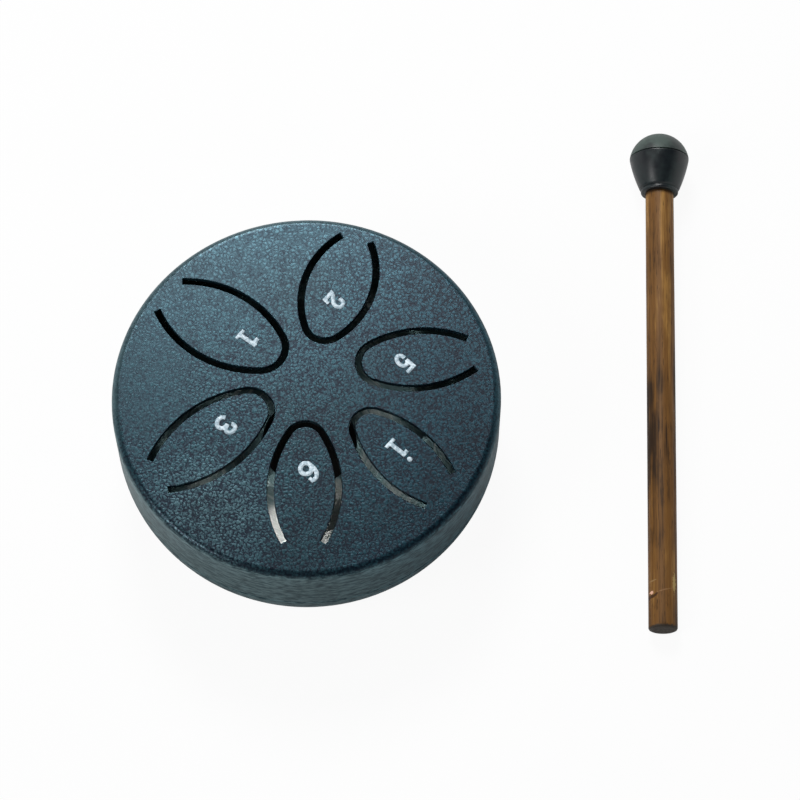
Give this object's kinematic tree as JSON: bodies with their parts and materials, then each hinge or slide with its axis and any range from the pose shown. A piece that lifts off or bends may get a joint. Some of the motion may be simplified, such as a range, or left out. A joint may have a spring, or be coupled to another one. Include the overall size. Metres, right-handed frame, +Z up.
{
  "type": "steel tongue drum",
  "caption": "Small round steel tongue drum: two welded pans, leaf-shaped sprung tongues cut in the playing face, a sound hole, rubber feet and a rubber-headed mallet beside it.",
  "frame": {"origin": "on the table, under the drum's axis, between the three feet", "axes": "+Z up along the drum's axis, +X to the right towards the mallet, +Y away from the player"},
  "size_m": [0.1224, 0.1129, 0.03],
  "materials": {
    "coated_steel": "dark grey-blue coat with a fine hammered grain, satin to semi-gloss",
    "print_white": "white printed digits on the tongues, satin",
    "foot_rubber": "black rubber, matt",
    "mallet_rubber": "dark grey moulded rubber, satin with a soft sheen",
    "mallet_wood": "brown stained and lacquered, longitudinal grain, satin"
  },
  "bodies": {
    "drum": {"upper_shell": "coated_steel", "lower_shell": "coated_steel", "foot_1": "foot_rubber", "foot_2": "foot_rubber", "foot_3": "foot_rubber"},
    "mallet": {"mallet_stick": "mallet_wood", "mallet_head": "mallet_rubber"},
    "tongue_1": {"tongue_1": "coated_steel"},
    "tongue_2": {"tongue_2": "coated_steel"},
    "tongue_3": {"tongue_3": "coated_steel"},
    "tongue_5": {"tongue_5": "coated_steel"},
    "tongue_6": {"tongue_6": "coated_steel"},
    "tongue_high_1": {"tongue_high_1": "coated_steel"}
  },
  "joints": [
    {"name": "tongue_1_flex", "type": "hinge", "parent": "drum", "child": "tongue_1", "pos_m": [-0.02821, 0.02184, 0.0294], "axis": [0.6235, 0.7819, 0], "range_deg": [-0.5, 0.5], "stiffness_Nm_per_rad": 20},
    {"name": "tongue_2_flex", "type": "hinge", "parent": "drum", "child": "tongue_2", "pos_m": [0.00991, 0.03464, 0.0294], "axis": [0.9636, -0.2674, 0], "range_deg": [-0.5, 0.5], "stiffness_Nm_per_rad": 20},
    {"name": "tongue_3_flex", "type": "hinge", "parent": "drum", "child": "tongue_3", "pos_m": [-0.02947, -0.01764, 0.0294], "axis": [-0.4963, 0.8682, 0], "range_deg": [-0.5, 0.5], "stiffness_Nm_per_rad": 20},
    {"name": "tongue_5_flex", "type": "hinge", "parent": "drum", "child": "tongue_5", "pos_m": [0.0336, 0.009, 0.0294], "axis": [0.2856, -0.9583, 0], "range_deg": [-0.5, 0.5], "stiffness_Nm_per_rad": 20},
    {"name": "tongue_6_flex", "type": "hinge", "parent": "drum", "child": "tongue_6", "pos_m": [-0.00022, -0.03202, 0.0294], "axis": [-1, 0.007, 0], "range_deg": [-0.5, 0.5], "stiffness_Nm_per_rad": 20},
    {"name": "tongue_high_1_flex", "type": "hinge", "parent": "drum", "child": "tongue_high_1", "pos_m": [0.02697, -0.02077, 0.0294], "axis": [-0.5971, -0.8022, 0], "range_deg": [-0.5, 0.5], "stiffness_Nm_per_rad": 20},
    {"name": "mallet_lift", "type": "slide", "parent": "drum", "child": "mallet", "axis": [0, 0, 1], "range_m": [0, 0.08]}
  ]
}
